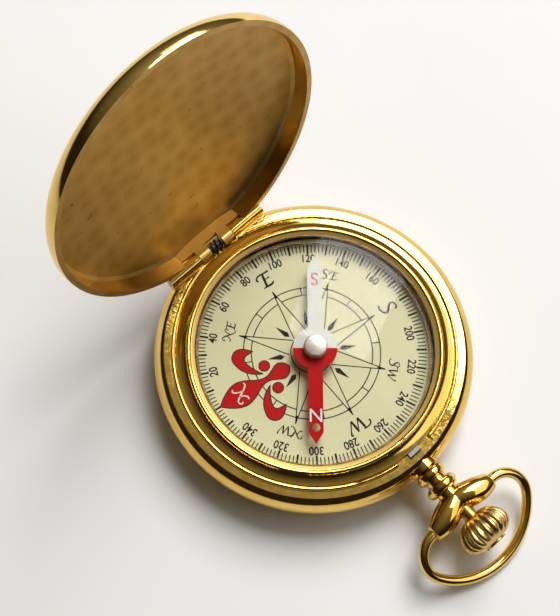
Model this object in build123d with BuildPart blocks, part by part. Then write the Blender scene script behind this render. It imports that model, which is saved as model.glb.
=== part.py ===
from build123d import *
import os
from math import asin, atan2, ceil, cos, degrees, pi, radians, sin, sqrt

# Pocket compass in a hunter case, lid open, in millimetres.
# +Z is up, the pendant points to -Y and the hinge is at +Y.
# The origin is the middle of the flat on which the case rests.

# Fits
fixed_clearance = 0.02      # between pieces that are pressed or brazed together
running_clearance = 0.05    # radial, between a shaft and its bore
free_clearance = 0.1        # between a loose piece and its housing
overrun = 1.0               # how far a cut runs past the piece

# Case band and back. Radii are worked inwards from the widest one.
case_radius = 23.3
ledge_inset = 1.1
shoulder_width = 1.6
ledge_width = 1.5
ledge_height = 8.4
bulge_drop = 2.9
foot_inset = 1.9
foot_height = 1.4
rim_wall_thickness = 0.6
rim_wall_rise = 0.5
rim_wall_round = 0.25
rim_notch_width = 6.4
rim_notch_drop = 0.35
shelf_width = 1.2
shelf_drop = 1.1
back_thickness = 0.8
back_curve_width = 5.4
back_seat_width = 1.4
back_lip_thickness = 0.7
back_lip_height = 1.2

# Bezel, crystal and gasket
bezel_edge_rise = 1.45
bezel_cove_width = 1.45
bezel_cove_rise = 0.5
bezel_bead_width = 0.7
bezel_bead_rise = 0.25
bezel_bead_fall = 0.22
bezel_lip_drop = 0.15
crystal_flange_width = 0.3
crystal_flange_thickness = 0.5
crystal_overhang = 0.05
crystal_thickness = 0.7
crystal_wall_rise = 1.3
crystal_dome_rise = 2.4
crystal_edge_bevel = 0.3
gasket_thickness = 0.2
gasket_width = 0.4

# Compass pan, dial and pivot
catch_channel_width = 1.75
pan_floor_thickness = 0.8
pan_wall_thickness = 1.25
pan_lip_thickness = 0.2
pan_rise = 0.4
dial_depth = 1.05
dial_thickness = 0.3
dial_hole_radius = 1.2
post_flange_radius = 2.5
post_flange_thickness = 0.6
post_radius = 0.8
post_rise = 1.1
pin_radius = 0.3
pin_seat_depth = 1.5
pin_taper_length = 0.95

# Needle
needle_lift = 2.1
needle_thickness = 0.2
needle_margin = 2.9
needle_width = 2.1
needle_point_length = 1.7
needle_disc_radius = 3.2
needle_hole_radius = 0.6
needle_hole_inset = 2.4
needle_angle = -132.8
cap_radius = 1.75
cap_taper = 0.3
cap_shoulder_height = 1.35
cap_height = 1.8
cap_tenon_radius = 1.0
cap_tenon_length = 0.4
cap_bore_radius = 0.7
cap_bore_depth = 1.2
jewel_thickness = 0.4
jewel_recess_radius = 0.45
jewel_recess_depth = 0.3

# Pendant, stem, crown and bow. Places along the pendant are counted outwards from the case.
pendant_drop = 2.6
pendant_tenon_radius = 2.3
pendant_tenon_length = 1.75
pendant_sink = 0.35
pendant_base_length = 0.25
counterbore_wall = 0.4
counterbore_depth = 2.0
neck_radius = 1.65
base_taper_length = 0.1
bead_length = 1.75
bead_radius = 2.3
groove_length = 0.5
second_bead_radius = 2.5
neck_length = 1.8
yoke_middle_radius = 1.85
yoke_flank_offset = 3.2
yoke_flank_advance = 0.9
yoke_flank_radius = 1.95
yoke_tip_offset = 5.7
yoke_tip_advance = 1.3
yoke_tip_radius = 1.2
yoke_tip_round = 0.35
stem_radius = 1.1
stem_seat_depth = 3.2
collar_radius = 1.55
collar_thickness = 0.6
crown_gap = 1.25
crown_length = 4.8
crown_radius = 4.15
crown_near_length = 3.1
crown_near_radius = 1.45
crown_far_radius = 2.3
crown_flute_count = 20
crown_flute_radius = 0.33
crown_flute_near_sweep = 60.0
crown_flute_far_sweep = 50.0
crown_flute_lift = 0.07
crown_button_radius = 1.7
crown_button_thickness = 0.3
bow_wire_radius = 0.75
bow_length = 10.5
bow_end_length = 0.1
bow_corner_radius = 3.6
bow_pin_radius = 0.45
bow_pin_reach = 1.1
bow_floor_gap = 0.02

# Catch
catch_travel = 0.5
catch_lever_width = 2.0
catch_lever_thickness = 0.4
catch_lever_angle = -90.0
catch_leaf_thickness = 0.5
catch_leaf_height = 1.3
catch_leaf_drop = 2.1
catch_leaf_gap = 0.6
catch_angle = -30.0
catch_nose_drop = 0.2
catch_nose_thickness = 0.3
catch_nose_overhang = 0.15
catch_nose_bevel = 0.2
catch_eye_radius = 0.8
catch_screw_radius = 0.45
catch_head_radius = 0.75
catch_head_thickness = 0.45
catch_boss_width = 1.7
catch_boss_height = 2.2
catch_boss_overlap = 0.3

# Hinge and lid
hinge_inset = 0.8
hinge_lift = 0.2
hinge_end_reach = 0.38
hinge_gap_half = 3.2
hinge_pin_radius = 0.45
knuckle_radius = 0.95
knuckle_clearance = 0.06
leaf_bridge_thickness = 0.4
lid_knuckle_inner = 1.25
lid_knuckle_outer = 3.1
lid_open_angle = 102.5
lid_gap = 0.1
lid_inset = 0.1
lid_rim_width = 0.85
lid_wall_swell = 0.1
lid_wall_swell_height = 1.3
lid_shoulder_inset = 1.2
lid_shoulder_height = 3.2
lid_floor_inset = 1.3
lid_wall_height = 2.5
lid_floor_height = 2.85
lid_floor_rise = 2.05
lid_thickness = 0.6
lid_plate_inset = 0.3
lid_plate_thickness = 0.6
spring_wire_radius = 0.15
spring_turn_radius = 0.8
spring_full_turns = 2
spring_start_angle = 270.0
spring_end_angle = 92.5
spring_half_length = 0.95
spring_case_leg = 0.6
spring_lid_leg = 1.4
spring_samples_per_step = 12

# Radii and heights of the case, from the outside in and from the ledge up and down
ledge_radius = case_radius - ledge_inset
ledge_edge_radius = case_radius - shoulder_width
rim_wall_radius = ledge_radius - ledge_width
rim_wall_inner = rim_wall_radius - rim_wall_thickness
band_bore_radius = rim_wall_inner - shelf_width
band_foot_radius = case_radius - foot_inset
back_lip_radius = band_foot_radius - back_seat_width
back_flat_radius = band_foot_radius - back_curve_width
bulge_height = ledge_height - bulge_drop
shelf_height = ledge_height - shelf_drop
rim_wall_height = ledge_height + rim_wall_rise
rim_notch_height = ledge_height - rim_notch_drop
pendant_height = ledge_height - pendant_drop

# Pan, dial, crystal and needle
pan_radius = band_bore_radius - catch_channel_width
pan_top_height = shelf_height + pan_rise
dial_height = pan_top_height - dial_depth
crystal_wall_radius = pan_radius + crystal_overhang
crystal_flange_radius = crystal_wall_radius + crystal_flange_width
needle_height = dial_height + needle_lift
post_top_height = dial_height + post_rise

# Places along the pendant
pendant_base_start = case_radius - pendant_sink
pendant_base_end = pendant_base_start + pendant_base_length
pendant_seat = pendant_base_start - pendant_tenon_length
bead_start = pendant_base_end + base_taper_length
first_bead_end = bead_start + bead_length
second_bead_start = first_bead_end + groove_length
second_bead_end = second_bead_start + bead_length
yoke_middle = second_bead_end + neck_length
bow_pivot = yoke_middle + yoke_tip_advance
crown_start = yoke_middle + yoke_middle_radius + crown_gap
crown_end = crown_start + crown_length
stem_inner_end = band_bore_radius - running_clearance
stem_outer_end = crown_start + stem_seat_depth

# Hinge axis and lid
hinge_offset = ledge_radius - hinge_inset
hinge_height = ledge_height + hinge_lift
lid_rim_drop = hinge_lift - lid_gap    # the axis lies this far inside the lid's rim plane

# Straight plate that closes the lid at the hinge, and the hinge's length beyond its ends
lid_radius = ledge_radius - lid_inset
lid_wall_bulge = lid_radius + lid_wall_swell
plate_outer = hinge_offset - lid_plate_inset
plate_inner = plate_outer - lid_plate_thickness
plate_half_length = sqrt(lid_wall_bulge**2 - plate_inner**2)
hinge_half_length = plate_half_length + hinge_end_reach

os.makedirs("parts", exist_ok=True)


def save(piece, name):
    """Label a finished sub-part and write its STEP file."""
    piece.part.label = name
    export_step(piece.part, f"parts/{name}.step")


# Turned sections are drawn in the XZ plane: local x is the radius and local y the height.

# Case band: a bulged ring with the lid's ledge, the upstanding rim wall and the bezel's shelf.
back_pocket_radius = back_lip_radius + fixed_clearance
back_pocket_height = foot_height + back_lip_height + fixed_clearance
rim_wall_middle = rim_wall_radius - rim_wall_thickness / 2
rim_round_height = rim_wall_height - rim_wall_round
bezel_radius = rim_wall_inner - free_clearance
leaf_front = bezel_radius + free_clearance
leaf_back = hinge_offset + hinge_pin_radius
leaf_height = ledge_height - running_clearance
leaf_bridge_height = hinge_height - knuckle_radius - knuckle_clearance
leaf_pocket_height = leaf_bridge_height - leaf_bridge_thickness
leaf_pocket_front = leaf_front - fixed_clearance
leaf_pocket_half = hinge_half_length + fixed_clearance
leaf_pocket_depth = case_radius - leaf_pocket_front + overrun
stem_bore_radius = stem_radius + running_clearance
boss_inner = pan_radius + free_clearance
boss_outer = band_bore_radius + catch_boss_overlap
catch_lever_foot = shelf_height - catch_leaf_drop
boss_top = catch_lever_foot - free_clearance
catch_boss_bottom = boss_top - catch_boss_height
catch_leaf_radius = band_bore_radius - catch_leaf_gap
screw_radius_from_centre = catch_leaf_radius - catch_leaf_thickness / 2
pendant_bore_plane = Plane(origin=(0, -pendant_seat, pendant_height), x_dir=(1, 0, 0), z_dir=(0, -1, 0))

with BuildPart() as case_band:
    with BuildSketch(Plane.XZ):
        with BuildLine():
            TangentArc((case_radius, bulge_height), (ledge_edge_radius, ledge_height), tangent=(0, 1))
            TangentArc((case_radius, bulge_height), (band_foot_radius, foot_height), tangent=(0, -1))
            Polyline(
                (band_foot_radius, foot_height),
                (back_pocket_radius, foot_height),
                (back_pocket_radius, back_pocket_height),
                (band_bore_radius, back_pocket_height),
                (band_bore_radius, shelf_height),
                (rim_wall_inner, shelf_height),
                (rim_wall_inner, rim_round_height),
            )
            ThreePointArc(
                (rim_wall_inner, rim_round_height),
                (rim_wall_middle, rim_wall_height),
                (rim_wall_radius, rim_round_height),
            )
            Polyline(
                (rim_wall_radius, rim_round_height),
                (rim_wall_radius, ledge_height),
                (ledge_edge_radius, ledge_height),
            )
        make_face()
    revolve(axis=Axis.Z)
    # boss for the catch screw, on the inside of the band
    with BuildSketch(Plane.XY.offset(catch_boss_bottom)):
        with PolarLocations((boss_inner + boss_outer) / 2, 1, start_angle=catch_angle):
            Rectangle(boss_outer - boss_inner, catch_boss_width)
    extrude(amount=boss_top - catch_boss_bottom)
    with BuildSketch(Plane.XY.offset(catch_boss_bottom)):
        with PolarLocations(screw_radius_from_centre, 1, start_angle=catch_angle):
            Circle(catch_screw_radius + fixed_clearance)
    extrude(amount=boss_top - catch_boss_bottom, mode=Mode.SUBTRACT)
    # flat pocket for the hinge leaf, open to the back
    with BuildSketch(Plane.XY.offset(leaf_pocket_height)):
        with Locations((0, leaf_pocket_front + leaf_pocket_depth / 2)):
            Rectangle(2 * leaf_pocket_half, leaf_pocket_depth)
    extrude(amount=rim_wall_height - leaf_pocket_height + overrun, mode=Mode.SUBTRACT)
    # notch in the rim wall for the catch
    with BuildSketch(Plane.XY.offset(rim_notch_height)):
        with Locations((0, -rim_wall_middle)):
            Rectangle(rim_notch_width, 2 * rim_wall_thickness)
    extrude(amount=rim_wall_height - rim_notch_height + overrun, mode=Mode.SUBTRACT)
    # pendant seat and stem bore
    with BuildSketch(pendant_bore_plane):
        Circle(pendant_tenon_radius + fixed_clearance)
    extrude(amount=case_radius - pendant_seat + overrun, mode=Mode.SUBTRACT)
    with BuildSketch(pendant_bore_plane):
        Circle(stem_bore_radius)
    extrude(amount=-(pendant_seat - stem_inner_end + overrun), mode=Mode.SUBTRACT)
save(case_band, "case_band")

# Case back: a shallow dish that snaps into the band.
back_lip_inner = back_lip_radius - back_lip_thickness
with BuildPart() as case_back:
    with BuildSketch(Plane.XZ):
        with BuildLine():
            Line((0, 0), (back_flat_radius, 0))
            TangentArc((back_flat_radius, 0), (band_foot_radius, foot_height), tangent=(1, 0))
            Polyline(
                (band_foot_radius, foot_height),
                (back_lip_radius, foot_height),
                (back_lip_radius, foot_height + back_lip_height),
                (back_lip_inner, foot_height + back_lip_height),
                (back_lip_inner, foot_height + fixed_clearance),
                (pan_radius + free_clearance, back_thickness),
                (0, back_thickness),
                (0, 0),
            )
        make_face()
    revolve(axis=Axis.Z)
save(case_back, "case_back")

# Compass pan: a cup that stands on the back and carries the dial and the crystal's gasket.
dial_seat_height = dial_height - dial_thickness
pan_lip_inner = pan_radius - pan_lip_thickness
pan_wall_inner = pan_radius - pan_wall_thickness
pan_floor_top = back_thickness + pan_floor_thickness
with BuildPart() as compass_pan:
    with BuildSketch(Plane.XZ):
        with BuildLine():
            Polyline(
                (0, back_thickness),
                (pan_radius, back_thickness),
                (pan_radius, pan_top_height),
                (pan_lip_inner, pan_top_height),
                (pan_lip_inner, dial_seat_height),
                (pan_wall_inner, dial_seat_height),
                (pan_wall_inner, pan_floor_top),
                (0, pan_floor_top),
                (0, back_thickness),
            )
        make_face()
    revolve(axis=Axis.Z)
save(compass_pan, "compass_pan")

with BuildPart() as dial_card:
    with BuildSketch(Plane.XY.offset(dial_seat_height)):
        Circle(pan_lip_inner - running_clearance)
        Circle(dial_hole_radius, mode=Mode.SUBTRACT)
    extrude(amount=dial_thickness)
save(dial_card, "dial_card")

# Pivot: a post on the pan's floor with a pointed steel pin pressed into it.
pin_bottom = post_top_height - pin_seat_depth
jewel_top = needle_height + needle_thickness + cap_bore_depth
jewel_bottom = jewel_top - jewel_thickness
pin_tip = jewel_bottom + jewel_recess_depth - running_clearance
pin_taper_height = pin_tip - pin_taper_length
with BuildPart() as pivot_post:
    with BuildSketch(Plane.XY.offset(pan_floor_top)):
        Circle(post_flange_radius)
    extrude(amount=post_flange_thickness)
    with BuildSketch(Plane.XY.offset(pan_floor_top)):
        Circle(post_radius)
    extrude(amount=post_top_height - pan_floor_top)
    with BuildSketch(Plane.XY.offset(pin_bottom)):
        Circle(pin_radius + fixed_clearance)
    extrude(amount=pin_seat_depth, mode=Mode.SUBTRACT)
save(pivot_post, "pivot_post")

with BuildPart() as pivot_pin:
    with BuildSketch(Plane.XZ):
        with BuildLine():
            Polyline(
                (0, pin_bottom),
                (pin_radius, pin_bottom),
                (pin_radius, pin_taper_height),
                (0, pin_tip),
                (0, pin_bottom),
            )
        make_face()
    revolve(axis=Axis.Z)
save(pivot_pin, "pivot_pin")

# Needle: a flat blade with a round middle, and a turned cap riveted into it over the jewel.
needle_plane = Plane(
    origin=(0, 0, needle_height),
    x_dir=(cos(radians(needle_angle)), sin(radians(needle_angle)), 0),
    z_dir=(0, 0, 1),
)
needle_half_length = pan_lip_inner - needle_margin
needle_shank = needle_half_length - needle_point_length
half_width = needle_width / 2
with BuildPart() as needle_blade:
    with BuildSketch(needle_plane):
        with BuildLine():
            Polyline(
                (needle_half_length, 0),
                (needle_shank, half_width),
                (-needle_shank, half_width),
                (-needle_half_length, 0),
                (-needle_shank, -half_width),
                (needle_shank, -half_width),
                (needle_half_length, 0),
            )
        make_face()
        Circle(needle_disc_radius)
        Circle(cap_tenon_radius + fixed_clearance, mode=Mode.SUBTRACT)
        with Locations((needle_half_length - needle_hole_inset, 0)):
            Circle(needle_hole_radius, mode=Mode.SUBTRACT)
    extrude(amount=needle_thickness)
save(needle_blade, "needle_blade")

cap_base = needle_height + needle_thickness
cap_shoulder_radius = cap_radius - cap_taper
cap_tenon_bottom = cap_base - cap_tenon_length
with BuildPart() as needle_cap:
    with BuildSketch(Plane.XZ):
        with BuildLine():
            Polyline(
                (cap_bore_radius, cap_tenon_bottom),
                (cap_tenon_radius, cap_tenon_bottom),
                (cap_tenon_radius, cap_base),
                (cap_radius, cap_base),
                (cap_shoulder_radius, cap_base + cap_shoulder_height),
            )
            TangentArc(
                (0, cap_base + cap_height),
                (cap_shoulder_radius, cap_base + cap_shoulder_height),
                tangent=(1, 0),
            )
            Polyline(
                (0, cap_base + cap_height),
                (0, jewel_top),
                (cap_bore_radius, jewel_top),
                (cap_bore_radius, cap_tenon_bottom),
            )
        make_face()
    revolve(axis=Axis.Z)
save(needle_cap, "needle_cap")

with BuildPart() as jewel_cup:
    with BuildSketch(Plane.XZ):
        with BuildLine():
            Polyline(
                (0, jewel_bottom + jewel_recess_depth),
                (jewel_recess_radius, jewel_bottom),
                (cap_bore_radius - fixed_clearance, jewel_bottom),
                (cap_bore_radius - fixed_clearance, jewel_top),
                (0, jewel_top),
                (0, jewel_bottom + jewel_recess_depth),
            )
        make_face()
    revolve(axis=Axis.Z)
save(jewel_cup, "jewel_cup")

# Crystal: a raised, domed glass with a flange under the bezel's lip, on a gasket.
crystal_bottom = pan_top_height + gasket_thickness
flange_top = crystal_bottom + crystal_flange_thickness
crystal_wall_height = flange_top + crystal_wall_rise
crystal_inner_radius = crystal_wall_radius - crystal_thickness
crystal_dome_radius = crystal_wall_radius - crystal_edge_bevel
crystal_dome_height = crystal_wall_height + crystal_edge_bevel
crystal_apex_height = crystal_wall_height + crystal_dome_rise
with BuildPart() as crystal:
    with BuildSketch(Plane.XZ):
        with BuildLine():
            Polyline(
                (crystal_inner_radius, crystal_bottom),
                (crystal_flange_radius, crystal_bottom),
                (crystal_flange_radius, flange_top),
                (crystal_wall_radius, flange_top),
                (crystal_wall_radius, crystal_wall_height),
                (crystal_dome_radius, crystal_dome_height),
            )
            TangentArc((0, crystal_apex_height), (crystal_dome_radius, crystal_dome_height), tangent=(1, 0))
            Line((0, crystal_apex_height), (0, crystal_apex_height - crystal_thickness))
            TangentArc(
                (0, crystal_apex_height - crystal_thickness),
                (crystal_inner_radius, crystal_wall_height - crystal_edge_bevel),
                tangent=(1, 0),
            )
            Line(
                (crystal_inner_radius, crystal_wall_height - crystal_edge_bevel),
                (crystal_inner_radius, crystal_bottom),
            )
        make_face()
    revolve(axis=Axis.Z)
save(crystal, "crystal")

with BuildPart() as crystal_gasket:
    with BuildSketch(Plane.XY.offset(pan_top_height)):
        Circle(pan_radius)
        Circle(pan_radius - gasket_width, mode=Mode.SUBTRACT)
    extrude(amount=gasket_thickness)
save(crystal_gasket, "crystal_gasket")

# Bezel ring: seated on the shelf inside the rim wall. A cove rises to a bead, and a lip holds the crystal's flange.
bezel_recess_radius = crystal_flange_radius + free_clearance
bezel_lip_radius = crystal_wall_radius + free_clearance
bezel_shoulder_radius = bezel_radius - bezel_cove_width
bezel_bead_inner_radius = bezel_shoulder_radius - bezel_bead_width
bezel_bead_radius = (bezel_shoulder_radius + bezel_bead_inner_radius) / 2
bezel_edge_height = shelf_height + bezel_edge_rise
bezel_shoulder_height = bezel_edge_height + bezel_cove_rise
bezel_bead_height = bezel_shoulder_height + bezel_bead_rise
bezel_bead_inner_height = bezel_bead_height - bezel_bead_fall
bezel_lip_height = bezel_bead_inner_height - bezel_lip_drop
catch_nose_bottom = ledge_height - catch_nose_drop
catch_nose_top = catch_nose_bottom + catch_nose_thickness
catch_slot_width = catch_lever_width + 2 * (free_clearance + catch_travel)
catch_slot_top = catch_nose_top + running_clearance
with BuildPart() as bezel_ring:
    with BuildSketch(Plane.XZ):
        with BuildLine():
            Polyline(
                (bezel_recess_radius, shelf_height),
                (bezel_radius, shelf_height),
                (bezel_radius, bezel_edge_height),
            )
            TangentArc(
                (bezel_radius, bezel_edge_height),
                (bezel_shoulder_radius, bezel_shoulder_height),
                tangent=(-1, 0),
            )
            ThreePointArc(
                (bezel_shoulder_radius, bezel_shoulder_height),
                (bezel_bead_radius, bezel_bead_height),
                (bezel_bead_inner_radius, bezel_bead_inner_height),
            )
            Polyline(
                (bezel_bead_inner_radius, bezel_bead_inner_height),
                (bezel_lip_radius, bezel_lip_height),
                (bezel_lip_radius, flange_top),
                (bezel_recess_radius, flange_top),
                (bezel_recess_radius, shelf_height),
            )
        make_face()
    revolve(axis=Axis.Z)
    # slot in which the catch's lever moves
    with BuildSketch(Plane.XY.offset(shelf_height)):
        with Locations((0, -(bezel_recess_radius + bezel_radius) / 2)):
            Rectangle(catch_slot_width, bezel_radius - bezel_recess_radius + free_clearance)
    extrude(amount=catch_slot_top - shelf_height, mode=Mode.SUBTRACT)
save(bezel_ring, "bezel_ring")

# Pendant: a turned neck with two beads, and a yoke whose two ears carry the bow.
# Its section lies in a plane where x is the distance from the case's axis and y the radius.
pendant_axis = Axis((0, 0, pendant_height), (0, -1, 0))
pendant_section = Plane(origin=(0, 0, pendant_height), x_dir=(0, -1, 0), z_dir=(-1, 0, 0))
bow_pin_hole_radius = bow_pin_radius + running_clearance
bow_pin_end = yoke_tip_offset - bow_pin_reach
with BuildPart() as pendant:
    with BuildSketch(pendant_section):
        with BuildLine():
            Polyline(
                (pendant_seat, stem_bore_radius),
                (pendant_seat, pendant_tenon_radius),
                (pendant_base_end, pendant_tenon_radius),
                (bead_start, neck_radius),
            )
            ThreePointArc(
                (bead_start, neck_radius),
                (bead_start + bead_length / 2, bead_radius),
                (first_bead_end, neck_radius),
            )
            Line((first_bead_end, neck_radius), (second_bead_start, neck_radius))
            ThreePointArc(
                (second_bead_start, neck_radius),
                (second_bead_start + bead_length / 2, second_bead_radius),
                (second_bead_end, neck_radius),
            )
            Polyline(
                (second_bead_end, neck_radius),
                (yoke_middle, neck_radius),
                (yoke_middle, stem_bore_radius),
                (pendant_seat, stem_bore_radius),
            )
        make_face()
    revolve(axis=pendant_axis)
    for side in (-1, 1):
        yoke_sections = (
            (0, yoke_middle, yoke_middle_radius),
            (side * yoke_flank_offset, yoke_middle + yoke_flank_advance, yoke_flank_radius),
            (side * yoke_tip_offset, bow_pivot, yoke_tip_radius),
        )
        for across, along, radius in yoke_sections:
            with BuildSketch(Plane.YZ.offset(across)):
                with Locations((-along, pendant_height)):
                    Circle(radius)
        loft()
    fillet(pendant.edges().group_by(Axis.X)[0] + pendant.edges().group_by(Axis.X)[-1], yoke_tip_round)
    for side in (-1, 1):
        with BuildSketch(Plane.YZ.offset(side * (bow_pin_end - free_clearance))):
            with Locations((-bow_pivot, pendant_height)):
                Circle(bow_pin_hole_radius)
        extrude(amount=side * (bow_pin_reach + overrun), mode=Mode.SUBTRACT)
    with BuildSketch(pendant_bore_plane):
        Circle(stem_bore_radius)
    extrude(amount=yoke_middle + yoke_middle_radius - pendant_seat + overrun, mode=Mode.SUBTRACT)
    with BuildSketch(pendant_bore_plane):
        Circle(pendant_tenon_radius - counterbore_wall)
    extrude(amount=counterbore_depth, mode=Mode.SUBTRACT)
save(pendant, "pendant")

# Stem with its retaining collar, crown and end button.
with BuildPart() as crown_stem:
    with BuildSketch(Plane(origin=(0, -stem_inner_end, pendant_height), x_dir=(1, 0, 0), z_dir=(0, -1, 0))):
        Circle(stem_radius)
    extrude(amount=stem_outer_end - stem_inner_end)
save(crown_stem, "crown_stem")

collar_end = pendant_seat + counterbore_depth - free_clearance
with BuildPart() as stem_collar:
    with BuildSketch(Plane(origin=(0, -collar_end, pendant_height), x_dir=(1, 0, 0), z_dir=(0, 1, 0))):
        Circle(collar_radius)
        Circle(stem_radius + fixed_clearance, mode=Mode.SUBTRACT)
    extrude(amount=collar_thickness)
save(stem_collar, "stem_collar")

crown_middle = crown_start + crown_near_length


def swell_radius(length, fall):
    """The radius of an arc that leaves the crown's widest point along the axis and falls in over a length."""
    return (length**2 + fall**2) / (2 * fall)


near_swell = swell_radius(crown_near_length, crown_radius - crown_near_radius)
far_swell = swell_radius(crown_length - crown_near_length, crown_radius - crown_far_radius)
with BuildPart() as crown:
    with BuildSketch(pendant_section):
        with BuildLine():
            TangentArc((crown_middle, crown_radius), (crown_start, crown_near_radius), tangent=(-1, 0))
            TangentArc((crown_middle, crown_radius), (crown_end, crown_far_radius), tangent=(1, 0))
            Polyline(
                (crown_end, crown_far_radius),
                (crown_end, 0),
                (stem_outer_end, 0),
                (stem_outer_end, stem_radius + fixed_clearance),
                (crown_start, stem_radius + fixed_clearance),
                (crown_start, crown_near_radius),
            )
        make_face()
    revolve(axis=pendant_axis)
    # rounded flutes that follow the crown's swell
    for index in range(crown_flute_count):
        turn = radians(index * 360 / crown_flute_count)
        outward = Vector(cos(turn), 0, sin(turn))
        flute_plane = Plane(
            origin=(0, -crown_middle, pendant_height),
            x_dir=outward,
            z_dir=Vector(0, 1, 0).cross(outward),
        )
        with BuildLine(flute_plane) as flute_path:
            CenterArc(
                (crown_radius - near_swell, 0),
                near_swell + crown_flute_lift,
                -crown_flute_near_sweep,
                crown_flute_near_sweep,
            )
            CenterArc((crown_radius - far_swell, 0), far_swell + crown_flute_lift, 0, crown_flute_far_sweep)
        flute_line = flute_path.wires()[0]
        with BuildSketch(Plane(origin=flute_line @ 0, z_dir=flute_line % 0)):
            Circle(crown_flute_radius)
        sweep(path=flute_line, mode=Mode.SUBTRACT)
save(crown, "crown")

with BuildPart() as crown_button:
    with BuildSketch(Plane(origin=(0, -crown_end, pendant_height), x_dir=(1, 0, 0), z_dir=(0, -1, 0))):
        Circle(crown_button_radius)
    extrude(amount=crown_button_thickness)
    fillet(crown_button.edges().group_by(Axis.Y)[0], crown_button_thickness / 2)
save(crown_button, "crown_button")

# Bow: an oval of round wire, drooping from the yoke's ears until it rests on the table.
bow_droop = degrees(asin((pendant_height - bow_wire_radius - bow_floor_gap) / bow_length))
bow_plane = Plane(
    origin=(0, -bow_pivot, pendant_height),
    x_dir=(1, 0, 0),
    z_dir=(0, sin(radians(bow_droop)), -cos(radians(bow_droop))),
)
bow_start = yoke_tip_offset + free_clearance
bow_shoulder = bow_start + bow_end_length
corner_reach = bow_length - bow_corner_radius
far_radius = (bow_shoulder**2 + corner_reach**2 - bow_corner_radius**2) / (2 * (corner_reach - bow_corner_radius))
far_centre = bow_length - far_radius
corner_turn = atan2(bow_corner_radius - far_centre, bow_shoulder)
corner_half_turn = (corner_turn - pi / 2) / 2


def bow_corner(turn, side):
    """A point on the bow's rounded corner, in the bow's plane."""
    across = bow_shoulder + bow_corner_radius * cos(turn)
    return (side * across, bow_corner_radius * (1 + sin(turn)))


with BuildPart() as bow:
    with BuildLine(bow_plane) as bow_path:
        Line((bow_start, 0), (bow_shoulder, 0))
        ThreePointArc((bow_shoulder, 0), bow_corner(corner_half_turn, 1), bow_corner(corner_turn, 1))
        ThreePointArc(bow_corner(corner_turn, 1), (0, bow_length), bow_corner(corner_turn, -1))
        ThreePointArc(bow_corner(corner_turn, -1), bow_corner(corner_half_turn, -1), (-bow_shoulder, 0))
        Line((-bow_shoulder, 0), (-bow_start, 0))
    with BuildSketch(Plane(origin=(bow_start, -bow_pivot, pendant_height), z_dir=(1, 0, 0))):
        Circle(bow_wire_radius)
    sweep(path=bow_path.wires()[0])
    for side in (-1, 1):
        with BuildSketch(Plane.YZ.offset(side * bow_pin_end)):
            with Locations((-bow_pivot, pendant_height)):
                Circle(bow_pin_radius)
        extrude(amount=side * (bow_shoulder - bow_pin_end))
save(bow, "bow")

# Catch: a leaf along the inside of the band, with a lever that the stem pushes and a nose over the ledge.
catch_nose_reach = rim_wall_radius + catch_nose_overhang
lever_face = stem_inner_end - free_clearance
lever_back = lever_face - catch_lever_thickness
leaf_inner_radius = catch_leaf_radius - catch_leaf_thickness
leaf_middle_radius = catch_leaf_radius - catch_leaf_thickness / 2
with BuildPart() as catch_spring:
    with BuildSketch(Plane.XY.offset(catch_lever_foot)):
        with BuildLine():
            CenterArc((0, 0), catch_leaf_radius, catch_lever_angle, catch_angle - catch_lever_angle)
            CenterArc((0, 0), leaf_inner_radius, catch_lever_angle, catch_angle - catch_lever_angle)
            Line((0, -catch_leaf_radius), (0, -leaf_inner_radius))
            Line(
                (catch_leaf_radius * cos(radians(catch_angle)), catch_leaf_radius * sin(radians(catch_angle))),
                (leaf_inner_radius * cos(radians(catch_angle)), leaf_inner_radius * sin(radians(catch_angle))),
            )
        make_face()
        with PolarLocations(leaf_middle_radius, 1, start_angle=catch_angle):
            Circle(catch_eye_radius)
    extrude(amount=catch_leaf_height)
    with BuildSketch(Plane.XY.offset(catch_lever_foot)):
        with Locations((0, -(lever_face + leaf_inner_radius) / 2)):
            Rectangle(catch_lever_width, lever_face - leaf_inner_radius)
    extrude(amount=catch_leaf_height)
    with BuildSketch(Plane.XY.offset(catch_lever_foot)):
        with Locations((0, -(lever_face + lever_back) / 2)):
            Rectangle(catch_lever_width, catch_lever_thickness)
    extrude(amount=catch_nose_top - catch_lever_foot)
    with BuildSketch(Plane.XY.offset(catch_nose_bottom)):
        with Locations((0, -(catch_nose_reach + lever_back) / 2)):
            Rectangle(catch_lever_width, catch_nose_reach - lever_back)
    extrude(amount=catch_nose_top - catch_nose_bottom)
    chamfer(catch_spring.edges().filter_by(Axis.X).group_by(Axis.Y)[0].sort_by(Axis.Z)[-1], catch_nose_bevel)
    with BuildSketch(Plane.XY.offset(catch_lever_foot)):
        with PolarLocations(leaf_middle_radius, 1, start_angle=catch_angle):
            Circle(catch_screw_radius + running_clearance)
    extrude(amount=catch_leaf_height, mode=Mode.SUBTRACT)
save(catch_spring, "catch_spring")

head_bottom = catch_lever_foot + catch_leaf_height + running_clearance
with BuildPart() as catch_screw:
    with BuildSketch(Plane.XY.offset(catch_boss_bottom)):
        with PolarLocations(screw_radius_from_centre, 1, start_angle=catch_angle):
            Circle(catch_screw_radius)
    extrude(amount=head_bottom - catch_boss_bottom)
    with BuildSketch(Plane.XY.offset(head_bottom)):
        with PolarLocations(screw_radius_from_centre, 1, start_angle=catch_angle):
            Circle(catch_head_radius)
    extrude(amount=catch_head_thickness)
save(catch_screw, "catch_screw")

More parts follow.
